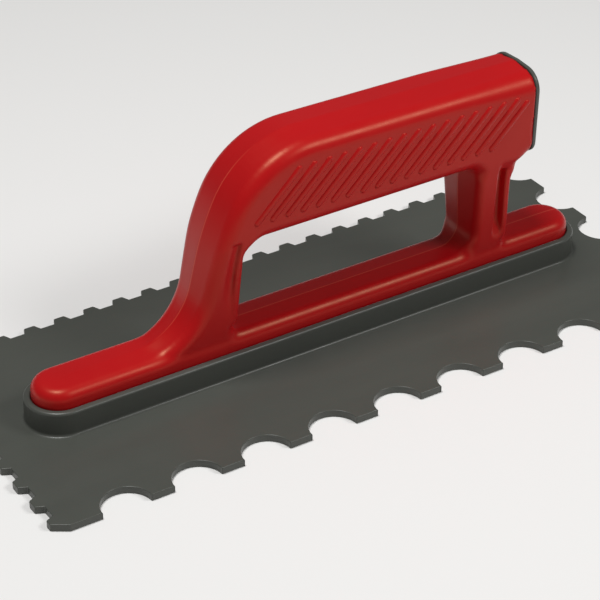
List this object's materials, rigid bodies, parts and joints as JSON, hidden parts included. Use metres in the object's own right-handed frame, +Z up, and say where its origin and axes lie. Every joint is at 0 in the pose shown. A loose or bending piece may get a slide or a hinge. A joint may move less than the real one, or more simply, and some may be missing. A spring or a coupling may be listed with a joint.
{
  "type": "notched trowel",
  "caption": "Flat moulded trowel for combing adhesive: round notches on two edges, small trapezoidal ones on the others, with a loop handle screwed into a raised socket rim.",
  "frame": {"origin": "middle of the plate's flat underside, the face that slides over the work", "axes": "+Z up out of the sole towards the grip; +X along the plate towards the capped end of the grip; -Y towards the long edge with the round notches"},
  "size_m": [0.27, 0.1108, 0.0899],
  "materials": {
    "plate": "injection-moulded, satin",
    "handle": "injection-moulded, semi-gloss",
    "end_cap": "injection-moulded, satin",
    "screw": "zinc plated"
  },
  "bodies": {
    "root": {"notched_plate": "plate", "handle": "handle", "end_cap": "end_cap", "foot_screw_1": "screw", "foot_screw_2": "screw", "foot_screw_3": "screw", "foot_screw_4": "screw"}
  },
  "joints": []
}
